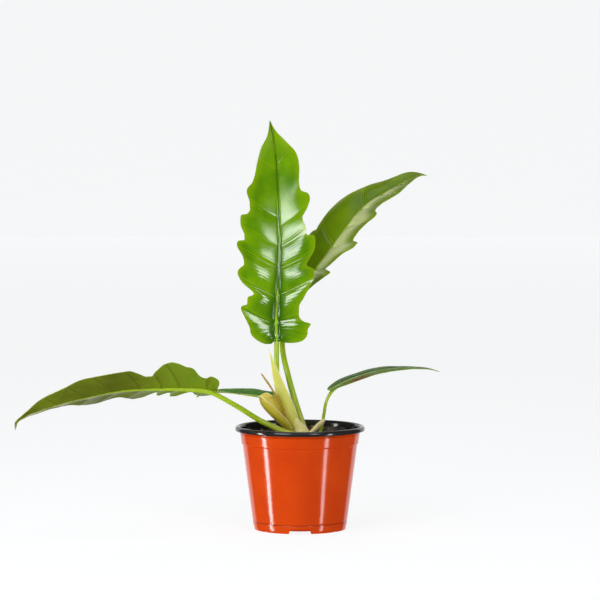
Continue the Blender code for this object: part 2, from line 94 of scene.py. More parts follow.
# One material; fixed socket values are given by name
class Finish:
    def __init__(self, name, fixed):
        self.material = bpy.data.materials.new(name)
        self.material.use_nodes = True
        self.tree = self.material.node_tree
        self.shader = self.tree.nodes["Principled BSDF"]
        for socket, value in fixed.items():
            self.shader.inputs[socket].default_value = value

    def plug(self, value, socket):
        if isinstance(value, Wire):
            self.tree.links.new(value.socket, socket)
        elif isinstance(value, tuple) and len(value) == 3 and socket.type == "RGBA":
            socket.default_value = (*value, 1.0)
        else:
            socket.default_value = value

    def node(self, kind, settings=None, sockets=None, output=0):
        made = self.tree.nodes.new(kind)
        for key, value in (settings or {}).items():
            setattr(made, key, value)
        for key, value in (sockets or {}).items():
            self.plug(value, made.inputs[key])
        return Wire(self, made.outputs[output])

    def tint(self, amount, first, second):
        return self.node("ShaderNodeMix", {"data_type": "RGBA"}, {0: amount, 6: first, 7: second}, 2)

    def place(self):
        return self.node("ShaderNodeTexCoord", output=3)

    def chart(self, name):
        spot = self.node("ShaderNodeAttribute", {"attribute_name": name}, output=1)
        return [self.node("ShaderNodeSeparateXYZ", None, {0: spot}, i) for i in range(3)]

    def stretch(self, vector, scale):
        return self.node("ShaderNodeMapping", None, {"Vector": vector, "Scale": scale})

    def noise(self, vector, scale, detail=3.0, rough=0.55):
        sockets = {"Vector": vector, "Scale": scale, "Detail": detail, "Roughness": rough}
        return self.node("ShaderNodeTexNoise", None, sockets)

    # Noise that follows two readings over the piece, so that it draws out into strands or rings
    def strands(self, across, along, detail, rough=0.55):
        spot = self.node("ShaderNodeCombineXYZ", None, {0: across, 1: along})
        return self.noise(spot, 1.0, detail, rough)

    def bump(self, height, strength, distance):
        sockets = {"Height": height, "Strength": strength, "Distance": distance}
        self.plug(self.node("ShaderNodeBump", None, sockets), self.shader.inputs["Normal"])

    def paint(self, **wires):
        names = {"colour": "Base Color", "roughness": "Roughness"}
        for key, wire in wires.items():
            self.plug(wire, self.shader.inputs[names[key]])


# Curves and grids

spineSteps = 200


def slopes(stations, values, keepFlat):
    step = np.diff(stations)
    rise = np.diff(values, axis=0) / step[:, None]
    found = np.empty_like(values)
    found[0], found[-1] = rise[0], rise[-1]
    before, after = rise[:-1], rise[1:]
    weight = (step[:-1] / (step[:-1] + step[1:]))[:, None]
    found[1:-1] = before * (1 - weight) + after * weight
    if keepFlat:  # level at each peak and dip, so that nothing overshoots
        limit = 3 * np.minimum(abs(before), abs(after))
        found[1:-1] = np.where(before * after <= 0, 0, np.clip(found[1:-1], -limit, limit))
    return found


# A smooth curve through the values at their stations, read at the wanted stations
def through(stations, values, wanted, keepFlat=False):
    stations = np.asarray(stations, float)
    values = np.asarray(values, float).reshape(len(stations), -1)
    slope = slopes(stations, values, keepFlat)
    span = np.clip(np.searchsorted(stations, wanted, side="right") - 1, 0, len(stations) - 2)
    width = (stations[span + 1] - stations[span])[:, None]
    t = np.clip((wanted - stations[span])[:, None] / width, 0, 1)
    start, end = values[span], values[span + 1]
    first = (1 + 2 * t) * (1 - t) ** 2 * start + t * (1 - t) ** 2 * width * slope[span]
    return first + t * t * (3 - 2 * t) * end + t * t * (t - 1) * width * slope[span + 1]


def lengths(points):
    return np.concatenate([[0], np.cumsum(np.linalg.norm(np.diff(points, axis=0), axis=1))])


def unit(vectors):
    return vectors / np.maximum(np.linalg.norm(vectors, axis=-1, keepdims=True), 1e-9)


def smoothLine(points, count):
    points = np.asarray(points, float)
    rough = lengths(points)
    return through(rough, points, np.linspace(0, rough[-1], count))


# A midrib in space: where it runs, and which way the upper face looks along it
class Spine:
    def __init__(self, points, faces):
        self.line = smoothLine(points, spineSteps)
        self.stations = lengths(self.line)
        self.length = self.stations[-1]
        self.along = unit(np.gradient(self.line, self.stations, axis=0))
        share = (self.stations / self.length)[:, None]
        look = np.asarray(faces[0], float) * (1 - share) + np.asarray(faces[1], float) * share
        self.up = unit(look - (look * self.along).sum(1, keepdims=True) * self.along)
        self.right = unit(np.cross(self.along, self.up))

    def read(self, values, station):
        station = np.clip(station, 0, self.length)
        return np.stack([np.interp(station, self.stations, values[:, i]) for i in range(3)], axis=-1)

    def point(self, station):
        beyond = station - np.clip(station, 0, self.length)
        return self.read(self.line, station) + beyond[..., None] * self.read(self.along, station)


def deselect():
    if bpy.context.object and bpy.context.object.mode != "OBJECT":
        bpy.ops.object.mode_set(mode="OBJECT")
    bpy.ops.object.select_all(action="DESELECT")


# A flat grid laid onto rows of points; its doubles are merged, which closes tips and seams
def layGrid(name, points, maps=None, closed=False):
    rows, columns = points.shape[0] - 1, points.shape[1] - 1
    deselect()
    bpy.ops.mesh.primitive_grid_add(x_subdivisions=columns, y_subdivisions=rows, size=0.1)
    piece = bpy.context.object
    piece.name = name
    mesh = piece.data
    mesh.vertices.foreach_set("co", (points * mm).astype(np.float32).ravel())
    for mapName, values in (maps or {}).items():
        chart = mesh.attributes.new(mapName, "FLOAT_VECTOR", "POINT")
        chart.data.foreach_set("vector", values.astype(np.float32).ravel())
    bpy.ops.object.mode_set(mode="EDIT")
    bpy.ops.mesh.select_all(action="SELECT")
    bpy.ops.mesh.remove_doubles(threshold=0.00002)
    bpy.ops.mesh.dissolve_degenerate(threshold=0.00001)
    if closed:
        bpy.ops.mesh.normals_make_consistent(inside=False)
    bpy.ops.object.mode_set(mode="OBJECT")
    bpy.ops.object.shade_smooth()
    return piece


def thicken(piece, thickness, finishes):
    for finish in finishes:
        piece.data.materials.append(finish.material)
    solid = piece.modifiers.new("thickness", "SOLIDIFY")
    solid.thickness = thickness * mm
    solid.offset = 0.0
    if len(finishes) == 3:
        solid.material_offset = 1
        solid.material_offset_rim = 2
    bpy.ops.object.modifier_apply(modifier=solid.name)
    bpy.ops.object.shade_smooth_by_angle(angle=math.radians(50))
    return piece


# Rows of points round a tapering rod, pulled to a point at both ends
def rodRows(line, radii, around, flat=1.0, roll=(0, 0, 1)):
    along = unit(np.gradient(line, axis=0))
    aside = unit(np.cross(along, np.asarray(roll, float)))
    over = np.cross(along, aside)
    turn = np.linspace(0, 2 * math.pi, around + 1)
    turn = turn[None, :, None]
    ring = np.cos(turn) * aside[:, None] + np.sin(turn) * over[:, None] * flat
    rows = line[:, None] + ring * radii[:, None, None]
    start = np.repeat(line[:1] - along[:1] * radii[0] * 0.4, around + 1, axis=0)[None]
    end = np.repeat(line[-1:] + along[-1:] * radii[-1] * 0.6, around + 1, axis=0)[None]
    return np.concatenate([start, rows, end])


def rodMaps(rows):
    middle = rows.mean(axis=1)
    station = lengths(middle)[:, None] + np.zeros(rows.shape[:2])
    turn = np.linspace(0, 1, rows.shape[1])[None] + np.zeros(rows.shape[:2])
    return {"rodMap": np.stack([station, turn, station / station.max()], axis=-1)}


def settle(piece, slot, *nodes):
    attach(piece, "root")
    if nodes:
        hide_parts(*nodes)
    return piece


# Camera

view = {"place": (0.0, -3.5, 0.475), "tilt": 86.62, "lens": 180.0, "sensor": 36.0}


def setCamera():
    deselect()
    bpy.ops.object.camera_add(location=view["place"], rotation=(math.radians(view["tilt"]), 0, 0))
    camera = bpy.context.object
    camera.data.lens = view["lens"]
    camera.data.sensor_width = view["sensor"]
    bpy.context.scene.camera = camera


setCamera()
print("camera placed")

# Pot

pot = {
    "sides": 144, "foot": 55.6, "footTop": 10.9, "flare": 11.6, "rise": 88.2,
    "shell": (0.56, 0.050, 0.0008), "shellDeep": (0.50, 0.040, 0.0006), "scuff": (0.66, 0.10, 0.01),
    "lining": (0.012, 0.011, 0.012), "dust": (0.05, 0.045, 0.042), "liningFrom": 114.4, "floorBelow": 12,
    "drains": (0, 90, 180, 270), "drainTop": 22.0, "drainFoot": 27.0, "drainHeight": 5.4,
    "nicks": (49, 131, 229, 311), "nickFoot": 6.5, "nickHeight": 2.2, "gapReach": (44.1, 60.0),
}


def potOutline():
    under = [(29.4, 0), (30.1, 0.3), (31.3, 5.2), (31.9, 5.6), (45.1, 5.6), (45.7, 5.1), (46.6, 0.4),
             (47.1, 0)]
    foot = [(53.5, 0), (54.2, 0.25), (54.5, 0.9), (55.25, 9.0), (55.15, 9.4), (54.75, 9.8),
            (54.75, 10.3), (55.5, 10.9)]
    steps = np.linspace(0.02, 0.98, 10)
    body = [(pot["foot"] + pot["flare"] * t, pot["footTop"] + pot["rise"] * t) for t in steps]
    collar = [(67.15, 99.2), (67.2, 99.6), (67.7, 99.95), (68.3, 100.3), (68.55, 100.8), (68.65, 101.8),
              (69.3, 106.5), (70.0, 111.7), (70.05, 112.3), (69.7, 112.8), (69.6, 113.3), (69.9, 113.7),
              (70.4, 114.0)]
    rim = [(70.6, 114.6), (71.0, 116.6), (72.0, 118.1), (73.4, 118.2), (74.4, 116.7), (74.8, 115.7),
           (75.35, 115.35), (75.9, 116.2), (75.98, 117.6), (75.4, 119.5), (73.6, 120.9), (71.6, 120.5),
           (70.3, 118.6), (69.7, 115.4), (69.4, 112.9)]
    inside = [(68.6, 107), (67.3, 101.8), (66.4, 100.3), (66.0, 99.4), (54.5, 10.6), (53.7, 8.6),
              (52.9, 1.7), (52.4, 1.2), (47.7, 1.2), (46.3, 6.8), (30.7, 6.8), (29.5, 1.2)]
    return under + foot + body + collar + [tuple(spot) for spot in smoothLine(rim, 40)] + inside


def turnPot():
    outline = potOutline()
    radius, level = outline[0]
    deselect()
    bpy.ops.mesh.primitive_circle_add(vertices=pot["sides"], radius=radius * mm, location=(0, 0, level * mm))
    piece = bpy.context.object
    piece.name = "nurseryPot"
    bpy.ops.object.transform_apply(location=True)
    bpy.ops.object.mode_set(mode="EDIT")
    bpy.ops.mesh.select_all(action="SELECT")
    for nextRadius, nextLevel in outline[1:]:
        rise = (0, 0, (nextLevel - level) * mm)
        bpy.ops.mesh.extrude_region_move(TRANSFORM_OT_translate={"value": rise})
        grow = nextRadius / radius
        bpy.ops.transform.resize(value=(grow, grow, 1), center_override=(0, 0, nextLevel * mm))
        radius, level = nextRadius, nextLevel
    bpy.ops.mesh.select_all(action="SELECT")
    bpy.ops.mesh.fill_holes(sides=0)
    bpy.ops.mesh.select_all(action="SELECT")
    bpy.ops.mesh.normals_make_consistent(inside=False)
    bpy.ops.object.mode_set(mode="OBJECT")
    return piece


# A wedge that takes one gap out of the foot, its sides sloping in towards the top
def cutGap(piece, angle, top, foot, height):
    deselect()
    bpy.ops.mesh.primitive_cube_add(size=1.0)
    wedge = bpy.context.object
    inner, outer = pot["gapReach"]
    for vertex in wedge.data.vertices:
        high = vertex.co.z > 0
        half = (top if high else foot) / 2
        reach = outer if vertex.co.y < 0 else inner
        vertex.co = Vector((math.copysign(half, vertex.co.x), -reach, height if high else -1.0)) * mm
    wedge.data.transform(Matrix.Rotation(math.radians(angle), 4, "Z"))
    deselect()
    bpy.context.view_layer.objects.active = piece
    cut = piece.modifiers.new("gap", "BOOLEAN")
    cut.solver = "EXACT"
    cut.operation = "DIFFERENCE"
    cut.object = wedge
    bpy.ops.object.modifier_apply(modifier=cut.name)
    bpy.data.objects.remove(wedge, do_unlink=True)


def shellFinish():
    finish = Finish("orangePlastic", {"Specular IOR Level": 0.45, "Metallic": 0.0})
    spot = finish.place()
    cloud = finish.noise(spot, 22.0, 3.0)
    grain = finish.noise(finish.stretch(spot, (1.0, 1.0, 5.0)), 90.0, 4.0)
    speck = finish.noise(spot, 900.0, 2.0).above(0.62, 0.78)
    colour = finish.tint(cloud.above(0.3, 0.75), pot["shell"], pot["shellDeep"])
    colour = finish.tint(speck * 0.08, colour, pot["scuff"])
    finish.paint(colour=colour, roughness=0.10 + grain * 0.06 + speck * 0.04)
    finish.bump(grain + cloud * 2.0, 0.05, 0.0010)
    return finish


def liningFinish():
    finish = Finish("blackLining", {"Specular IOR Level": 0.5, "Metallic": 0.0})
    spot = finish.place()
    cloud = finish.noise(spot, 40.0, 4.0)
    dust = finish.noise(spot, 700.0, 3.0).above(0.6, 0.8)
    colour = finish.tint(dust * 0.5 + cloud * 0.25, pot["lining"], pot["dust"])
    finish.paint(colour=colour, roughness=0.10 + cloud * 0.08 + dust * 0.10)
    finish.bump(cloud + dust * 0.2, 0.06, 0.0008)
    return finish


def addPot():
    piece = turnPot()
    for angle in pot["drains"]:
        cutGap(piece, angle, pot["drainTop"], pot["drainFoot"], pot["drainHeight"])
    for angle in pot["nicks"]:
        cutGap(piece, angle, pot["nickFoot"] / 3, pot["nickFoot"], pot["nickHeight"])
    piece.data.materials.clear()
    piece.data.materials.append(shellFinish().material)
    piece.data.materials.append(liningFinish().material)
    for face in piece.data.polygons:
        outward = face.normal.x * face.center.x + face.normal.y * face.center.y
        radius = math.hypot(face.center.x, face.center.y)
        lining = face.center.z > pot["liningFrom"] * mm or outward < -0.2 * radius
        lining = lining or (face.normal.z > 0.7 and face.center.z < pot["floorBelow"] * mm)
        face.material_index = 1 if lining and radius > 0.001 else 0
    deselect()
    piece.select_set(True)
    bpy.context.view_layer.objects.active = piece
    bpy.ops.object.shade_smooth_by_angle(angle=math.radians(32))
    return settle(piece, "pot", "nursery_pot")


addPot()
print("pot turned")

# Potting mix: one lumpy body and the loose bits on it

mix = {
    "radius": 65, "level": 106.6, "tilt": 3.2, "tiltBack": 0.8, "bank": 5.0, "bankFrom": 32, "bankBlend": 10,
    "peat": (0.040, 0.032, 0.025), "peatPale": (0.13, 0.090, 0.060), "grit": (0.30, 0.20, 0.12), "seed": 11,
    "crumbs": 760, "crumbSizes": (1.6, 4.6), "chips": 70, "chipSizes": (2.6, 8.5),
    "beads": 14, "beadSizes": (1.8, 3.6), "bark": (0.36, 0.20, 0.10), "barkDark": (0.11, 0.058, 0.028),
    "perlite": (0.62, 0.60, 0.55), "perliteDark": (0.32, 0.29, 0.25),
}


def mixHeight(x, y):
    bank = mix["bank"] * (0.5 + 0.5 * np.tanh((y - mix["bankFrom"]) / mix["bankBlend"]))
    slope = (mix["tilt"] * x + mix["tiltBack"] * y) / mix["radius"]
    return mix["level"] + slope + 0.5 * np.sin(x / 9) * np.cos(y / 11) + bank


def mixLumps(x, y):
    coarse = np.sin(x * 0.43 + 1.3 * np.sin(y * 0.31)) * np.sin(y * 0.39 + 1.1 * np.sin(x * 0.27))
    fine = np.sin(x * 1.13 + 2.0 * np.sin(y * 0.83)) * np.sin(y * 1.07 + 1.7 * np.sin(x * 0.91))
    return 0.55 * coarse + 0.35 * fine


def mixFinish():
    finish = Finish("dampPeat", {"Specular IOR Level": 0.25, "Metallic": 0.0})
    spot = finish.place()
    cloud = finish.noise(spot, 120.0, 6.0, 0.7)
    grit = finish.noise(spot, 520.0, 4.0, 0.7)
    colour = finish.tint(cloud.above(0.4, 0.72), mix["peat"], mix["peatPale"])
    colour = finish.tint(grit.above(0.66, 0.74) * 0.5, colour, mix["grit"])
    finish.paint(colour=colour, roughness=0.75 + grit * 0.25)
    finish.bump(cloud + grit * 0.6, 0.9, 0.0022)
    return finish


def barkFinish():
    finish = Finish("bark", {"Specular IOR Level": 0.3})
    spot = finish.place()
    fibre = finish.noise(finish.stretch(spot, (1.0, 1.0, 7.0)), 260.0, 5.0, 0.65)
    colour = finish.tint(fibre.above(0.36, 0.66), mix["barkDark"], mix["bark"])
    finish.paint(colour=colour, roughness=0.6 + fibre * 0.3)
    finish.bump(fibre, 0.7, 0.001)
    return finish


def perliteFinish():
    finish = Finish("perlite", {"Specular IOR Level": 0.3})
    spot = finish.place()
    foam = finish.noise(spot, 900.0, 3.0, 0.7)
    colour = finish.tint(foam.below(0.38, 0.55), mix["perlite"], mix["perliteDark"])
    finish.paint(colour=colour, roughness=0.75 + foam * 0.2)
    finish.bump(foam, 0.6, 0.0006)
    return finish


def addMixBody(finish):
    turn = np.linspace(0, 2 * math.pi, 145)
    floor = [(0.0, 1.6), (28, 1.6), (29.6, 7.2), (52.6, 7.2), (54.0, 14), (65.4, 99.0)]
    rows = []
    for radius, level in floor:
        rows.append(np.stack([radius * np.cos(turn), radius * np.sin(turn), level + 0 * turn], axis=-1))
    for radius in np.linspace(66.2, 0, 46):
        x, y = radius * np.cos(turn), radius * np.sin(turn)
        calm = min(1.0, radius / 6)
        rows.append(np.stack([x, y, mixHeight(x, y) + calm * mixLumps(x, y)], axis=-1))
    piece = layGrid("pottingMix", np.array(rows), closed=True)
    piece.data.materials.append(finish.material)
    return settle(piece, "mix", "potting_mix")


def shapeCrumb():
    deselect()
    bpy.ops.mesh.primitive_ico_sphere_add(subdivisions=1, radius=0.5, location=(0, 0, 0))
    crumb = bpy.context.object
    for i, vertex in enumerate(crumb.data.vertices):
        vertex.co *= 0.82 + 0.3 * math.sin(i * 2.7) * math.cos(i * 1.3)
    return crumb


def shapeChip():
    deselect()
    bpy.ops.mesh.primitive_cube_add(size=1.0)
    chip = bpy.context.object
    bpy.ops.object.mode_set(mode="EDIT")
    bpy.ops.mesh.select_all(action="SELECT")
    bpy.ops.mesh.bevel(offset=0.12, segments=1)
    bpy.ops.mesh.subdivide(number_cuts=1)
    bpy.ops.object.mode_set(mode="OBJECT")
    for i, vertex in enumerate(chip.data.vertices):
        vertex.co *= 0.92 + 0.13 * math.sin(i * 3.1 + 4 * vertex.co.x)
    return chip


# Copies of one bit, each with its own mesh, laid where the draws say and joined
def scatter(name, bit, draws, finish, slot):
    copies = []
    for x, y, lift, size, turns in draws:
        copy = bit.copy()
        copy.data = bit.data.copy()
        height = float(mixHeight(x, y) + mixLumps(x, y)) + lift
        turned = Matrix.Identity(4)
        for angle, axis in zip(turns, "ZXY"):
            turned = turned @ Matrix.Rotation(angle, 4, axis)
        shaped = Matrix.Diagonal((*[value * mm for value in size], 1.0))
        copy.data.transform(Matrix.Translation(Vector((x, y, height)) * mm) @ turned @ shaped)
        bpy.context.scene.collection.objects.link(copy)
        copies.append(copy)
    bpy.data.objects.remove(bit, do_unlink=True)
    deselect()
    for copy in copies:
        copy.select_set(True)
    bpy.context.view_layer.objects.active = copies[0]
    bpy.ops.object.join()
    piece = bpy.context.object
    piece.name = name
    piece.data.materials.clear()
    piece.data.materials.append(finish.material)
    bpy.ops.object.shade_smooth_by_angle(angle=math.radians(40))
    return settle(piece, slot)


# Places, sizes and turns of loose bits; lean says how much they gather towards the right
def drawBits(chance, count, size, flatness, lift, tilt, limit=63.0, lean=0.0):
    draws = []
    while len(draws) < count:
        radius = limit * math.sqrt(chance.uniform(0.03, 1))
        turn = chance.uniform(0, 2 * math.pi)
        x, y = radius * math.cos(turn), radius * math.sin(turn)
        if chance.uniform() > 1 - lean * (1 - x / limit) / 2:
            continue
        big = chance.uniform(*size)
        spans = (big, big * chance.uniform(0.55, 0.95), big * chance.uniform(*flatness))
        turns = (chance.uniform(0, 6.28), chance.uniform(-tilt, tilt), chance.uniform(-tilt, tilt))
        draws.append((x, y, lift * big, spans, turns))
    return draws


def addMix():
    chance = np.random.RandomState(mix["seed"])
    peat = mixFinish()
    addMixBody(peat)
    crumbs = drawBits(chance, mix["crumbs"], mix["crumbSizes"], (0.5, 0.9), 0.1, 3.0)
    scatter("peatCrumbs", shapeCrumb(), crumbs, peat, "mix")
    chips = drawBits(chance, mix["chips"], mix["chipSizes"], (0.25, 0.6), 0.14, 0.8, 62.0, 0.45)
    scatter("barkChips", shapeChip(), chips, barkFinish(), "mix")
    beads = drawBits(chance, mix["beads"], mix["beadSizes"], (0.7, 0.95), 0.25, 3.0, 62.0, 0.6)
    scatter("perliteBeads", shapeCrumb(), beads, perliteFinish(), "mix")


addMix()
print("potting mix filled")


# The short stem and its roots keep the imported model's own shape

crown = {"bark": (0.30, 0.26, 0.08), "green": (0.42, 0.42, 0.12), "scar": (0.16, 0.09, 0.03)}


def crownFinish():
    finish = Finish("crownBark", {"Specular IOR Level": 0.35})
    spot = finish.place()
    ring = finish.noise(finish.stretch(spot, (1.0, 1.0, 4.0)), 120.0, 4.0)
    colour = finish.tint(ring.above(0.35, 0.65), crown["bark"], crown["green"])
    colour = finish.tint(finish.noise(spot, 300.0).above(0.6, 0.72) * 0.6, colour, crown["scar"])
    finish.paint(colour=colour, roughness=0.5 + ring * 0.3)
    finish.bump(ring, 0.5, 0.001)
    return finish


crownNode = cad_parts["crown_with_roots"]
crownNode.data.materials.clear()
crownNode.data.materials.append(crownFinish().material)

# Leaves. A blade is laid out flat beside its midrib: margin points are (along, across), folds are the
# angle of each half at the midrib and at the margin, veins are where the main side veins leave it.

veinSteps = 100
bladeThickness = 0.55
tipInset = 0.45

uprightLeaf = {
    "stalk": [(-8.6, 5, 111.3), (-10, 5.5, 115), (-19, 7, 134), (-25.5, 10, 156), (-27.3, 12, 190)],
    "stalkRadii": (3.6, 2.9),
    "midrib": [(-27, 15, 218), (-28, 17, 244), (-26, 20, 272), (-25, 23, 296), (-24, 31, 337),
               (-26, 41, 378), (-28, 55, 425), (-32, 68, 460), (-36, 76, 478)],
    "faces": [(0.0, -1.0, 0.1), (0.0, -1.0, 0.1)],
    "leftFold": (16, 2), "rightFold": (20, 4),
    "left": [(1, 4), (-2, 8), (-2, 14), (3, 24), (11, 31), (18, 32), (27, 37), (36, 43), (41, 36),
             (49, 36), (55, 29), (69, 44), (79, 49), (85, 46), (89, 42), (96, 43), (114, 51),
             (118, 50), (120, 42), (126, 42), (141, 46), (151, 45), (153, 37), (158, 34),
             (166, 34), (178, 37), (190, 30), (215, 23), (233, 17), (250, 7)],
    "right": [(1, 3), (-1, 9), (-2, 20), (0, 31), (6, 37), (13, 38), (20, 42), (24, 33),
              (32, 27.5), (44, 27), (54, 32), (66, 38), (79, 43), (86, 42), (91, 33), (109, 42),
              (119, 43), (123, 42), (125, 33), (134, 32), (144, 29), (155, 35), (167, 39),
              (174, 37), (178, 29), (190, 27), (206, 28), (221, 26), (238, 15), (253, 5)],
    "leftVeins": (22, 53, 86, 113, 147, 204), "rightVeins": (24, 56, 87, 112, 137, 212),
    "rows": 230, "columns": 34, "pad": 2.2, "calm": (1, 0.78, 0.34, 0.02), "ruffle": 0.9,
    "rib": (1.6, 0.75, 0.4), "ribRaise": 0.6,
    "upper": "uprightGloss",
}
rightLeaf = {
    "stalk": [(5.8, 6.4, 111.3), (4.9, 6.9, 115), (-4.4, 12, 144), (-14, 20, 178), (-20.5, 31, 208),
              (-19.5, 41, 240)],
    "stalkRadii": (4.2, 3.0),
    "midrib": [(-8, 49, 268), (18, 56, 301), (44, 65, 336), (78, 80, 377), (110, 92, 396),
               (147, 104, 412), (153, 107, 411.5)],
    "faces": [(-0.73, -0.53, 0.43), (-0.35, -0.53, 0.77)],
    "leftFold": (16, -2), "rightFold": (14, -4),
    "left": [(-3, 4), (-7, 12), (-5, 26), (6, 38), (26, 44), (48, 47), (70, 45), (84, 42),
             (88, 38), (93, 39), (113, 40), (130, 37), (150, 28), (170, 23), (190, 16), (212, 10),
             (224, 4)],
    "right": [(-2, 4), (-4, 9), (-2, 15), (6, 19), (20, 22), (36, 29), (46, 35), (48, 22),
              (58, 27), (72, 34), (85, 43), (91, 43), (92, 32), (102, 30), (118, 34), (130, 38),
              (135, 37), (138, 31), (146, 26), (157, 23), (172, 23), (188, 20), (204, 11), (218, 4)],
    "leftVeins": (26, 80, 142, 188), "rightVeins": (18, 44, 76, 106, 134, 166, 194), "bend": 1.45,
    "rows": 220, "columns": 32, "pad": 2.0, "calm": (1, 1, 1, 0.8), "ruffle": 0.8, "crease": 1.6,
    "rib": (1.2, 0.7, 0.4), "ribRaise": 0.5,
    "upper": "rightGloss",
}
leftLeaf = {
    "stalk": [(-4, -15, 110.6), (-14, -15.6, 113.6), (-26, -16.4, 118.6), (-44, -18, 127.3),
              (-70, -24.5, 144), (-88, -30.5, 155)],
    "stalkRadii": (3.8, 2.9),
    "midrib": [(-96, -33, 163.5), (-127, -42, 168), (-167, -52, 169), (-207, -60, 167),
               (-241, -66, 161), (-275, -72, 153), (-302, -76, 145), (-316, -78, 138),
               (-325, -79, 131), (-326, -79, 123)],
    "faces": [(0.0, 0.47, 0.88), (0.0, 0.47, 0.88)],
    "leftFold": (14, 14), "rightFold": (12, 4),
    "left": [(1, 4), (1, 9), (2, 16), (6, 22), (15, 26), (20, 21), (26, 23), (36, 36),
             (46, 41), (54, 47), (62, 50), (69, 47), (74, 38), (78, 30), (80, 23), (86, 22),
             (96, 29), (107, 36), (135, 35), (161, 33), (178, 28), (197, 21), (214, 12),
             (228, 6), (243, 1.5)],
    "right": [(0, 4), (-2, 10), (0, 18), (6, 25), (12, 29), (19, 26), (27, 16), (33, 24),
              (41, 36), (48, 38), (53, 24), (58, 31), (63, 38), (70, 24), (76, 33), (84, 43),
              (93, 45), (103, 37), (114, 31), (127, 36), (139, 41), (150, 39), (161, 29),
              (174, 20), (192, 17), (208, 12), (226, 6), (243, 1.5)],
    "leftVeins": (14, 46, 66, 92, 124, 156, 188, 212), "rightVeins": (10, 42, 60, 86, 116, 144, 176, 206),
    "rows": 230, "columns": 32, "pad": 1.6, "calm": (1, 1, 0.8, 0.6), "ruffle": 0.8,
    "rib": (1.3, 0.7, 0.4), "ribRaise": 0.5,
    "upper": "leftGloss",
}
rearMargin = [(0, 3), (2, 7), (12, 12), (32, 17), (62, 20), (92, 17), (116, 12), (136, 6), (150, 2)]
rearLeaf = {
    "stalk": [(-2, 14, 111.3), (-2.6, 14.6, 114), (-8, 21, 128), (-15, 28, 141)],
    "stalkRadii": (3.2, 2.2),
    "midrib": [(-25, 36, 151), (-51, 60, 151), (-72, 85, 151), (-97, 115, 150), (-116, 138, 146),
               (-127, 150, 140)],
    "faces": [(0.1, -0.2, 1.0), (0.1, -0.2, 1.0)],
    "leftFold": (14, 4), "rightFold": (14, 4),
    "left": rearMargin, "right": rearMargin,
    "leftVeins": (16, 42, 70, 98, 124), "rightVeins": (14, 40, 68, 96, 122),
    "rows": 130, "columns": 20, "pad": 0.8, "calm": (1, 1, 1, 1), "ruffle": 0.4,
    "rib": (1.1, 0.6, 0.35), "ribRaise": 0.4,
    "upper": "rearGloss",
}
smallLeaf = {
    "stalk": [(14.5, 2, 103), (21, 1, 108), (24.5, 0, 116), (28, 0, 134), (31.5, 1, 151)],
    "stalkRadii": (2.3, 1.8),
    "midrib": [(34, 2, 162), (43, 7, 167), (60, 18, 174), (83, 32, 180.5), (109, 48, 184),
               (137, 61, 183.6), (155, 69, 181.6), (167, 73, 178)],
    "faces": [(-0.1, -0.1, 1.0), (0.0, -0.1, 1.0)],
    "leftFold": (7, 0), "rightFold": (-4, -6),
    "left": [(0, 3), (2, 6), (12, 10), (32, 13), (62, 13.5), (92, 11), (116, 7.5), (136, 4), (149, 1.5)],
    "right": [(0, 3), (2, 5), (12, 8.5), (32, 12), (62, 13), (92, 11), (116, 7.5), (136, 4), (149, 1.5)],
    "leftVeins": (16, 42, 70, 98, 124), "rightVeins": (14, 40, 68, 96, 122),
    "rows": 130, "columns": 20, "pad": 0.7, "calm": (1, 1, 1, 1), "ruffle": 0.3,
    "rib": (1.0, 0.6, 0.3), "ribRaise": 0.4, "sink": 1.1,
    "upper": "smallGloss",
}

# In these looks, shade and near are painted shade and painted sheen, and one more value sets a painted pale
# sheen on the near half
leafLook = {
    "uprightGloss": {"fresh": (0.135, 0.300, 0.0006), "deep": (0.058, 0.175, 0.0005),
                     "edge": (0.25, 0.38, 0.002), "rib": (0.28, 0.46, 0.02), "ribFar": (0.05, 0.13, 0.002),
                     "gloss": 0.075, "shine": 0.5, "bloom": 0.0, "shade": 0.85},
    "rightGloss": {"fresh": (0.125, 0.222, 0.0010), "deep": (0.082, 0.165, 0.0008),
                   "edge": (0.24, 0.33, 0.02), "rib": (0.34, 0.42, 0.06), "ribFar": (0.24, 0.32, 0.02),
                   "gloss": 0.20, "shine": 0.22, "bloom": 0.82},
    "leftGloss": {"fresh": (0.125, 0.22, 0.0010), "deep": (0.08, 0.165, 0.0008),
                  "edge": (0.26, 0.34, 0.02), "rib": (0.34, 0.43, 0.06), "ribFar": (0.2, 0.3, 0.02),
                  "gloss": 0.16, "shine": 0.4, "bloom": 0.0},
    "rearGloss": {"fresh": (0.085, 0.29, 0.003), "deep": (0.05, 0.20, 0.002),
                  "edge": (0.08, 0.22, 0.01), "rib": (0.2, 0.34, 0.03), "ribFar": (0.08, 0.24, 0.01),
                  "gloss": 0.42, "shine": 0.03, "bloom": 0.0},
    "smallGloss": {"fresh": (0.060, 0.155, 0.008), "deep": (0.025, 0.080, 0.010),
                   "edge": (0.16, 0.26, 0.05), "rib": (0.40, 0.48, 0.20), "ribFar": (0.34, 0.42, 0.2),
                   "gloss": 0.36, "shine": 0.10, "bloom": 0.0, "near": 0.9},
}
# The first tint is painted shade, the second and the last are painted sheen, and rust is the leaf's own
# reddish colour
upperTints = {"midribShade": (0.014, 0.085, 0.0003), "near": (0.12, 0.23, 0.004), "rust": (0.17, 0.045, 0.02),
              "paintedSheen": (0.62, 0.69, 0.30)}
# The last underside colour is a painted sheen streak
underLook = {"fresh": (0.135, 0.175, 0.0010), "deep": (0.082, 0.105, 0.0008), "bright": (0.16, 0.27, 0.004),
             "vein": (0.075, 0.085, 0.001), "rib": (0.30, 0.37, 0.05), "edge": (0.26, 0.34, 0.02),
             "ribSheen": (0.62, 0.55, 0.42)}


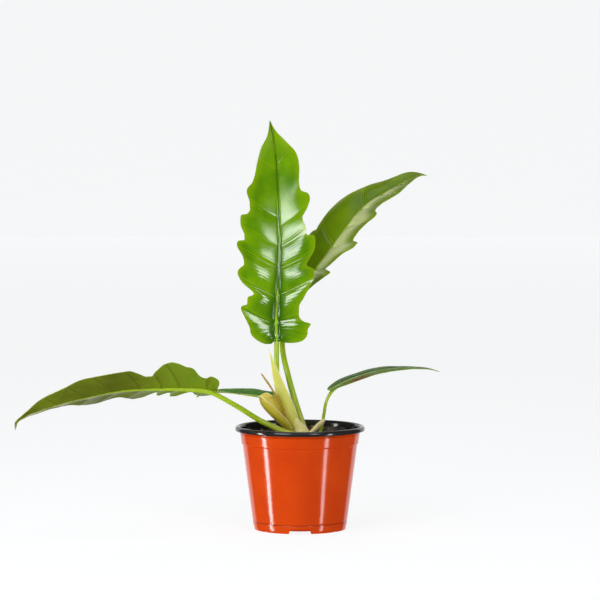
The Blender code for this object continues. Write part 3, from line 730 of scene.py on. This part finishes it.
# Side veins climb more steeply the nearer they are to the tip
def marginRows(margin, length, blunt):
    points = ([] if blunt else [(0.0, 0.0)]) + margin + [(length, 0.0)]
    rows = []
    for along, across in points:
        climb = 0.36 + 0.5 * (max(along, 0) / length) ** 1.4
        row = round((along - climb * across) / length * veinSteps)
        rows.append(max(row, rows[-1] + 1) if rows else 0)
    free = veinSteps
    for i in reversed(range(len(rows))):
        rows[i] = min(rows[i], free)
        free = rows[i] - 1
    rows[-1] = veinSteps
    return rows, points


# Sideways and upward reach of a point across a half that curls from one angle to another
def foldedHalf(across, fold, halfWidth):
    start, end = np.radians(fold[0]), np.radians(fold[1])
    bend = (end - start) / halfWidth
    if abs(bend) < 1e-6:
        return across * math.cos(start), across * math.sin(start)
    turned = start + bend * across
    return (np.sin(turned) - math.sin(start)) / bend, (math.cos(start) - np.cos(turned)) / bend


# How far the surface stands proud of its smooth form: pads between creased veins, and the midrib
def quilting(spec, veins, roots, share, across, phase):
    stops = np.array([-12.0, *veins, roots.max() + 12])
    span = np.clip(np.searchsorted(stops, roots, side="right") - 1, 0, len(stops) - 2)
    reach = (roots - stops[span]) / (stops[span + 1] - stops[span])
    gap = np.minimum(abs(roots - stops[span]), abs(stops[span + 1] - roots))
    pillow = (1 - abs(2 * reach - 1) ** 2.2)[:, None]
    middle = np.sin(math.pi * np.clip(share, 0, 1) ** 0.85 * 0.93)[None] ** 0.9
    taper = np.clip((roots.max() - roots) / 60, 0, 1)[:, None] ** 0.6
    calm = np.interp(roots, [0, 60, 105, roots.max()], spec["calm"])[:, None]
    raised = spec["pad"] * calm * pillow * middle * taper
    fade = np.clip(share / 0.06, 0, 1) * (1 - share ** 2)
    crease = -0.5 * np.exp(-(gap / 1.7) ** 2)[:, None] * fade[None]
    crease = crease * (0.12 + 0.88 * calm) * spec.get("crease", 1.0)
    ruffle = spec["ruffle"] * np.sin(roots / 9.5 + phase)[:, None] * share[None] ** 3
    ribWidth = np.interp(roots, [0, 70, roots.max()], spec["rib"])[:, None]
    ridge = spec["ribRaise"] * np.exp(-(across / ribWidth) ** 2)
    groove = -0.35 * np.exp(-((across - 2.1 * ribWidth) / (0.9 * ribWidth)) ** 2)
    return raised + crease + ruffle * taper + (ridge + groove) * np.clip(taper + 0.3, 0, 1), gap, ribWidth


def bladeGrid(spec, blunt=False):
    spine = Spine(spec["midrib"], spec["faces"])
    steps = np.linspace(0, veinSteps, spec["rows"] + 1)
    roots = spine.length * steps / veinSteps
    places, heights, charts = [], [], []
    for side, sign in (("left", -1), ("right", 1)):
        margin = through(*marginRows(spec[side], spine.length, blunt), steps, keepFlat=True)
        share = np.linspace(0, 1, spec["columns"] + 1) ** 1.3
        along = roots[:, None] + (margin[:, :1] - roots[:, None]) * share[None] ** spec.get("bend", 1.18)
        across = margin[:, 1:] * share[None]
        sideways, upwards = foldedHalf(across, spec[side + "Fold"], margin[:, 1].max())
        place = spine.point(along) + sign * sideways[..., None] * spine.read(spine.right, along)
        place = place + upwards[..., None] * spine.read(spine.up, along)
        if "pad" in spec:
            veins = spec[side + "Veins"]
            height, gap, rib = quilting(spec, veins, roots, share, across, 0.0 if sign < 0 else 1.9)
        else:
            height, gap, rib = np.zeros(across.shape), np.full(len(roots), 9.0), 1.0
        chart = np.stack([gap[:, None] + 0 * across, across / rib, margin[:, 1:] - across], axis=-1)
        run = np.stack([roots[:, None] + 0 * across, along, sign * across], axis=-1)
        order = slice(None, None, -1) if sign < 0 else slice(1, None)
        places.append(place[:, order])
        heights.append(height[:, order])
        charts.append((chart[:, order], run[:, order]))
    points = np.concatenate(places, axis=1)
    normal = unit(np.cross(np.gradient(points, axis=1), np.gradient(points, axis=0)))
    points = points + normal * np.concatenate(heights, axis=1)[..., None]
    low, high = (np.array(corner) / mm for corner in cadBox)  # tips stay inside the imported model's box
    points = np.clip(points, low + tipInset, high - tipInset)
    spine.line[-1] = np.clip(spine.line[-1], low + tipInset, high - tipInset)
    points[0], points[-1] = (points[0] if blunt else spine.line[0]), spine.line[-1]
    maps = {"bladeMap": np.concatenate([chart for chart, _ in charts], axis=1),
            "runMap": np.concatenate([run for _, run in charts], axis=1)}
    return points, maps, spine


def upperFinish(name):
    look = leafLook[name]
    finish = Finish(name, {"Specular IOR Level": look["shine"], "Metallic": 0.0})
    gap, across, edge = finish.chart("bladeMap")
    root, _, side = finish.chart("runMap")
    spot = finish.place()
    cloud = finish.noise(spot, 28.0, 4.0)
    mottle = finish.noise(spot, 260.0, 4.0)
    fine = ((root * 2.35 + finish.noise(spot, 60.0) * 5.0).wave() * 0.5 + 0.5) ** 2.0
    cross = finish.noise(spot, 620.0, 3.0)
    colour = finish.tint(cloud.above(0.32, 0.7), look["fresh"], look["deep"])
    colour = finish.tint(mottle.above(0.45, 0.75) * 0.28, colour, look["deep"])
    colour = finish.tint(fine * 0.14, colour, look["edge"])
    # Painted shade along each sunken vein crease, and a painted highlight on the band either side of it
    creaseShade = gap.below(0.1, 1.3)
    creaseHighlight = gap.above(0.7, 1.5) * gap.below(1.7, 2.9)
    colour = finish.tint(creaseHighlight * 0.34, colour, look["edge"])
    colour = finish.tint(creaseShade * 0.5, colour, look["deep"])
    colour = finish.tint(edge.below(0.0, 9.0) * 0.42, colour, look["edge"])
    colour = finish.tint(edge.below(0.0, 0.9) * 0.6, colour, look["rib"])
    # Painted shade: the blade beside the lower part of the midrib is darkened
    if "shade" in look:
        midribShade = across.below(2.0, 14.0) * root.below(70.0, 160.0) * (cloud * 0.6 + 0.7)
        colour = finish.tint(midribShade * look["shade"], colour, upperTints["midribShade"])
    # Painted sheen: the small leaf's near half is painted a lighter green; the rusty tint after it is the
    # leaf's own colour
    if "near" in look:
        lit = side.above(0.0, 1.5) * look["near"]
        colour = finish.tint(lit, colour, upperTints["near"])
        rusty = side.above(3.0, 7.0) * root.above(8.0, 22.0) * root.below(34.0, 62.0)
        colour = finish.tint(rusty * cloud.above(0.3, 0.55), colour, upperTints["rust"])
    # Painted sheen: a pale tint over the near half of the right leaf
    if look["bloom"]:
        paintedSheen = side.above(0.5, 3.0) * edge.above(1.0, 16.0) * (fine * 0.3 + mottle * 0.5 + 0.55)
        colour = finish.tint(paintedSheen * look["bloom"], colour, upperTints["paintedSheen"])
    ribTint = finish.tint(root.above(20.0, 80.0), look["rib"], look["ribFar"])
    colour = finish.tint(across.below(0.8, 1.5), colour, ribTint)
    finish.paint(colour=colour, roughness=look["gloss"] + mottle * 0.05 + fine * 0.03)
    finish.bump(fine * 0.4 + cross * 0.4 + mottle * 0.5, 0.2, 0.0004)
    return finish


def underFinish(name, ribSheen):
    finish = Finish(name, {"Specular IOR Level": 0.35, "Metallic": 0.0})
    gap, across, edge = finish.chart("bladeMap")
    root, _, side = finish.chart("runMap")
    spot = finish.place()
    cloud = finish.noise(spot, 24.0, 4.0)
    mottle = finish.noise(spot, 300.0, 4.0)
    fine = ((root * 2.35 + finish.noise(spot, 60.0) * 5.0).wave() * 0.5 + 0.5) ** 3.0
    # Painted sheen: a pale streak beside the midrib on the near half, towards the tip
    streak = ribSheen * side.above(0.5, 2.0) * side.below(5.0, 15.0) * root.above(80.0, 130.0)
    # Brighter green towards the base of the blade
    baseBright = root.below(30.0, 110.0) * 0.75
    colour = finish.tint(cloud.above(0.34, 0.7), underLook["fresh"], underLook["deep"])
    colour = finish.tint(baseBright, colour, underLook["bright"])
    colour = finish.tint(fine * 0.12, colour, underLook["bright"])
    colour = finish.tint(gap.below(0.6, 2.0) * 0.45, colour, underLook["vein"])
    colour = finish.tint(streak * (cloud * 0.6 + 0.4), colour, underLook["ribSheen"])
    colour = finish.tint(across.below(0.8, 2.2) * 0.7, colour, underLook["rib"])
    colour = finish.tint(edge.below(0.0, 1.4) * 0.4, colour, underLook["edge"])
    finish.paint(colour=colour, roughness=0.26 + mottle * 0.10)
    finish.bump(fine * 0.6 + mottle + gap.below(0.3, 1.8) * 1.4, 0.35, 0.0005)
    return finish


rimLook = {"pale": (0.36, 0.42, 0.07), "green": (0.24, 0.33, 0.03)}


def rimFinish():
    finish = Finish("leafRim", {"Specular IOR Level": 0.35})
    spot = finish.place()
    cloud = finish.noise(spot, 180.0, 3.0)
    colour = finish.tint(cloud.above(0.35, 0.7), rimLook["pale"], rimLook["green"])
    finish.paint(colour=colour, roughness=0.4 + cloud * 0.2)
    finish.bump(cloud, 0.2, 0.0003)
    return finish


stalkLook = {"fresh": (0.42, 0.55, 0.016), "deep": (0.22, 0.40, 0.006), "foot": (0.60, 0.60, 0.10),
             "fleck": (0.5, 0.55, 0.18), "midrib": (0.21, 0.27, 0.02)}
ribShares = (0.03, 0.15, 0.3, 0.45, 0.6, 0.75, 0.88)


def stalkFinish():
    finish = Finish("stalkSkin", {"Specular IOR Level": 0.4})
    station, turn, share = finish.chart("rodMap")
    spot = finish.place()
    streak = finish.strands(turn * 42.0, station * 0.05, 4.0)
    fleck = finish.noise(spot, 520.0, 3.0).above(0.62, 0.74)
    colour = finish.tint(streak.above(0.3, 0.7), stalkLook["fresh"], stalkLook["deep"])
    colour = finish.tint(share.below(0.0, 0.16) * 0.8, colour, stalkLook["foot"])
    colour = finish.tint(fleck * 0.35, colour, stalkLook["fleck"])
    colour = finish.tint(share.above(0.45, 0.8) * 0.8, colour, stalkLook["midrib"])
    finish.paint(colour=colour, roughness=0.18 + streak * 0.12)
    finish.bump(streak + fleck * 0.4, 0.25, 0.0005)
    return finish


# A stalk runs on under its blade as the midrib, thinning towards the tip
def addStalk(name, spec, spine, finish):
    foot, neck = spec["stalkRadii"]
    knots = list(spec["stalk"])
    radii = list(np.linspace(foot, neck, len(knots)))
    fold = math.radians(min(spec["leftFold"][0], spec["rightFold"][0]))
    for share in ribShares:
        station = np.array(share * spine.length)
        radius = 0.92 * neck * (1 - share) ** 2.2 + 0.45
        drop = radius * spec.get("sink", 0.5) / math.cos(fold) + 0.15
        knots.append(spine.point(station) - drop * spine.read(spine.up, station))
        radii.append(radius)
    knots = np.asarray(knots, float)
    rough = lengths(knots)
    wanted = np.linspace(0, rough[-1], 120)
    line = through(rough, knots, wanted)
    thick = through(rough, radii, wanted, keepFlat=True)[:, 0]
    rows = rodRows(line, thick, 22)
    piece = layGrid(name + "Stalk", rows, rodMaps(rows), closed=True)
    piece.data.materials.append(finish.material)
    return piece


def addLeaves():
    unders = {"left": underFinish("sheenStreakUnderside", 1.0)}
    plainUnder, rim, skin = underFinish("leafUnderside", 0.0), rimFinish(), stalkFinish()
    leaves = {"upright": uprightLeaf, "right": rightLeaf, "left": leftLeaf, "rear": rearLeaf,
              "small": smallLeaf}
    for name, spec in leaves.items():
        points, maps, spine = bladeGrid(spec)
        blade = layGrid(name + "Blade", points, maps)
        thicken(blade, bladeThickness, [upperFinish(spec["upper"]), unders.get(name, plainUnder), rim])
        settle(blade, "blade", name + "_leaf_blade")
        stalk = addStalk(name, spec, spine, skin)
        settle(stalk, "stalk", name + "_leaf_stalk")
        print("leaf grown:", name)


addLeaves()

# Sheaths that once wrapped a new leaf

sheathThickness = 0.7
sheathEdge = (0.84, 0.74, 0.46)

# Each sheath's near colour is painted shade on its near half
tallSheath = {
    "midrib": [(-1, -6.5, 109), (-6.5, -7.5, 119), (-9.5, -8, 128), (-13, -8.5, 139), (-24, -10, 168),
               (-33, -11.5, 200), (-36.5, -12, 214)],
    "faces": [(0.2, 1.0, 0.2), (0.2, 1.0, 0.2)], "leftFold": (10, 60), "rightFold": (10, 60),
    "left": [(0, 9), (20, 8.8), (40, 8.2), (60, 6.8), (80, 4.2), (98, 1.4)],
    "right": [(0, 10), (12, 12.5), (24, 13), (40, 11.5), (60, 8), (80, 4.4), (98, 1.4)],
    "rows": 80, "columns": 14,
    "fresh": (0.62, 0.64, 0.075), "dry": (0.72, 0.66, 0.22), "near": (0.60, 0.62, 0.11),
}
hoodedSheath = {
    "midrib": [(-12, -5, 108.5), (-13.5, -5.5, 113), (-18, -6.5, 118), (-26, -8.5, 125.5),
               (-36.5, -12, 136), (-46, -16, 149), (-48, -17, 157)],
    "faces": [(0.8, -0.1, 0.6), (0.7, -0.2, 0.7)], "leftFold": (30, 85), "rightFold": (30, 85),
    "left": [(0, 8), (10, 12), (28, 15.5), (44, 15), (57, 12), (63, 7)],
    "right": [(0, 8), (10, 12), (26, 17), (40, 22), (52, 22), (60, 17), (64, 9)],
    "rows": 70, "columns": 18,
    "fresh": (0.80, 0.70, 0.07), "dry": (0.70, 0.55, 0.12), "near": (0.46, 0.38, 0.018),
}
smallMargin = [(0, 3.0), (8, 3.6), (16, 3.4), (22, 2.2)]
smallSheath = {
    "midrib": [(12, -7.5, 112.5), (18, -8, 119), (29.5, -7, 129.5)],
    "faces": [(0.3, 1.0, 0.0), (0.3, 1.0, 0.0)], "leftFold": (25, 60), "rightFold": (25, 60),
    "left": smallMargin, "right": smallMargin, "rows": 30, "columns": 8,
    "fresh": (0.82, 0.72, 0.34), "dry": (0.62, 0.46, 0.18), "near": (0.78, 0.66, 0.30),
}
drySpike = {
    "line": [(-13, -5, 126), (-19, -6, 138), (-25, -9.5, 151), (-34, -13.5, 167), (-45, -15, 183)],
    "steps": 50, "radii": (2.0, 0.9), "flat": 0.6, "straw": (0.52, 0.40, 0.04), "brown": (0.34, 0.20, 0.02),
}


def fibreFinish(name, fresh, dry, near):
    finish = Finish(name, {"Specular IOR Level": 0.35})
    _, _, edge = finish.chart("bladeMap")
    _, along, side = finish.chart("runMap")
    strands = finish.strands(side * 2.6, along * 0.045, 5.0, 0.7)
    cloud = finish.noise(finish.place(), 70.0, 4.0)
    colour = finish.tint(cloud.above(0.35, 0.7) * 0.5, fresh, dry)
    # Painted shade: the near half of the sheath takes the darker near colour
    colour = finish.tint(side.below(-2.5, 0.5) * 0.85, colour, near)
    colour = finish.tint(strands.above(0.45, 0.7) * 0.6, colour, dry)
    colour = finish.tint(edge.below(0.1, 1.1) * 0.8, colour, sheathEdge)
    finish.paint(colour=colour, roughness=0.34 + strands * 0.2)
    finish.bump(strands + cloud * 0.5, 0.4, 0.0007)
    return finish


def addSheath(name, spec, node):
    points, maps, _ = bladeGrid(spec, blunt=True)
    piece = layGrid(name, points, maps)
    fibre = fibreFinish(name + "Fibre", spec["fresh"], spec["dry"], spec["near"])
    thicken(piece, sheathThickness, [fibre])
    return settle(piece, "sheath", node)


# The pale foot where sheaths and stalks leave the crown
crownFoot = {
    "line": [(1.0, -2.5, 106), (1.0, -3.0, 112), (0.0, -4.0, 117), (-2.0, -5.0, 122), (-5.0, -6.3, 129)],
    "radii": [11.5, 10.2, 8.2, 5.6, 2.4], "rings": 0.02, "swell": 0.05, "lobes": 5,
    "cream": (0.90, 0.80, 0.38), "green": (0.66, 0.64, 0.13),
}


def addCrownFoot():
    rough = lengths(np.asarray(crownFoot["line"], float))
    wanted = np.linspace(0, rough[-1], 40)
    line = through(rough, crownFoot["line"], wanted)
    radii = through(rough, crownFoot["radii"], wanted, keepFlat=True)[:, 0]
    ringed = radii * (1 + crownFoot["rings"] * np.sin(wanted * 2.4))
    rows = rodRows(line, ringed, 40, roll=(0, 1, 0))
    turns = np.linspace(0, 2 * math.pi, 41)
    swell = 1 + crownFoot["swell"] * np.sin(turns * crownFoot["lobes"])[None, :, None]
    middle = rows.mean(axis=1, keepdims=True)
    rows = middle + (rows - middle) * swell
    piece = layGrid("crownFoot", rows, rodMaps(rows), closed=True)
    finish = Finish("paleFoot", {"Specular IOR Level": 0.35})
    station, turn, _ = finish.chart("rodMap")
    ring = finish.strands(turn * 3.0, station * 1.1, 3.0)
    colour = finish.tint(ring.above(0.38, 0.68), crownFoot["cream"], crownFoot["green"])
    finish.paint(colour=colour, roughness=0.36 + ring * 0.2)
    finish.bump(ring, 0.25, 0.0005)
    piece.data.materials.append(finish.material)
    return settle(piece, "sheath")


def addDrySpike():
    steps = drySpike["steps"]
    line = smoothLine(drySpike["line"], steps)
    radii = np.linspace(*drySpike["radii"], steps) * (1 + 0.12 * np.sin(np.linspace(0, 17, steps)))
    rows = rodRows(line, radii, 14, flat=drySpike["flat"], roll=(0, 1, 0))
    piece = layGrid("drySheath", rows, rodMaps(rows), closed=True)
    finish = Finish("dryHusk", {"Specular IOR Level": 0.2})
    station, turn, _ = finish.chart("rodMap")
    streak = finish.strands(turn * 30.0, station * 0.1, 5.0)
    colour = finish.tint(streak.above(0.35, 0.65), drySpike["straw"], drySpike["brown"])
    finish.paint(colour=colour, roughness=0.6 + streak * 0.3)
    finish.bump(streak, 0.7, 0.0006)
    piece.data.materials.append(finish.material)
    return settle(piece, "dry_sheath", "dry_sheath")


addSheath("tallSheath", tallSheath, "tall_sheath")
addSheath("hoodedSheath", hoodedSheath, "hooded_sheath")
addSheath("smallSheath", smallSheath, "small_sheath")
addCrownFoot()
addDrySpike()
print("sheaths wrapped")

# Studio: a pale floor, a far wall, three quiet boards round them and five plain softboxes

studio = {
    "floor": (0.19, 0.192, 0.196), "floorGlow": 0.86, "wall": (0.10, 0.101, 0.103), "wallGlow": 0.88,
    "paper": (0.985, 0.993, 1, 1), "world": 0.05, "reach": 9.0, "height": 12.0, "depth": 7.0, "away": 2.0,
    "softboxes": {  # aim, then turn, rise, width and height in degrees as seen from it, then glow
        "potLeft": ((0, 0, 0.06), -74, -6, 8, 40, 19),
        "potRight": ((0, 0, 0.06), 54, -6, 7, 40, 10),
        "leafLeft": ((-0.02, 0.03, 0.35), -32, 19, 25, 11.5, 14),
        "leafRight": ((-0.02, 0.03, 0.32), 26, 17, 14, 11, 12.5),
        "top": ((0, 0, 0.2), 0, 80, 50, 50, 1.3),
    },
}


# A flat pale board between two corners: a quiet one is only a background, a glossy one is reflected
def addBoard(name, corners, tone, glow, quiet=False, gloss=False):
    low, high = (np.array(corner, float) for corner in corners)
    t = np.linspace(0, 1, 9)
    rows = np.empty((9, 9, 3))
    rows[...] = low + (high - low) * t[:, None, None]
    acrossAxis = 1 if high[0] == low[0] else 0
    rows[..., acrossAxis] = low[acrossAxis] + (high[acrossAxis] - low[acrossAxis]) * t[None]
    board = layGrid(name, rows / mm)
    fixed = {"Roughness": 0.9, "Specular IOR Level": 0.0, "Emission Color": studio["paper"],
             "Emission Strength": glow}
    finish = Finish(name + "Paint", fixed)
    paper = finish.noise(finish.place(), 3.0, 2.0)
    finish.paint(colour=finish.tint(paper * 0.2, tone, tuple(value * 0.95 for value in tone)))
    board.data.materials.append(finish.material)
    board.visible_glossy = gloss
    board.visible_shadow = gloss
    board.visible_diffuse = not quiet


def addSoftbox(name, aim, turn, rise, wide, tall, glow):
    turn, rise = math.radians(turn), math.radians(rise)
    back = Vector((math.sin(turn) * math.cos(rise), -math.cos(turn) * math.cos(rise), math.sin(rise)))
    deselect()
    bpy.ops.object.light_add(type="AREA", location=Vector(aim) + back * studio["away"])
    lamp = bpy.context.object
    lamp.name = name
    lamp.rotation_euler = back.to_track_quat("Z", "Y").to_euler()
    lamp.data.shape = "RECTANGLE"
    lamp.data.size = 2 * studio["away"] * math.tan(math.radians(wide / 2))
    lamp.data.size_y = 2 * studio["away"] * math.tan(math.radians(tall / 2))
    lamp.data.energy = glow * math.pi * lamp.data.size * lamp.data.size_y


def lightStudio():
    far, high, deep = studio["reach"], studio["height"], studio["depth"]
    addBoard("studioFloor", ((-far, -far, 0), (far, far, 0)), studio["floor"], studio["floorGlow"])
    corners = ((-far, far, -deep), (far, far, high))
    addBoard("studioWall", corners, studio["wall"], studio["wallGlow"], gloss=True)
    sides = {"Left": ((-far, -far, 0), (-far, far, high)), "Right": ((far, -far, 0), (far, far, high)),
             "Front": ((-far, -far, 0), (far, -far, high))}
    for name, corners in sides.items():
        addBoard("studio" + name, corners, studio["wall"], studio["wallGlow"], quiet=True)
    for name, box in studio["softboxes"].items():
        addSoftbox(name, *box)
    world = bpy.data.worlds.new("softRoom")
    world.use_nodes = True
    air = world.node_tree.nodes["Background"]
    air.inputs["Color"].default_value = (1, 1, 1, 1)
    air.inputs["Strength"].default_value = studio["world"]
    bpy.context.scene.world = world
    bpy.context.scene.view_settings.view_transform = "Standard"


lightStudio()
print("studio lit")

bpy.context.view_layer.update()
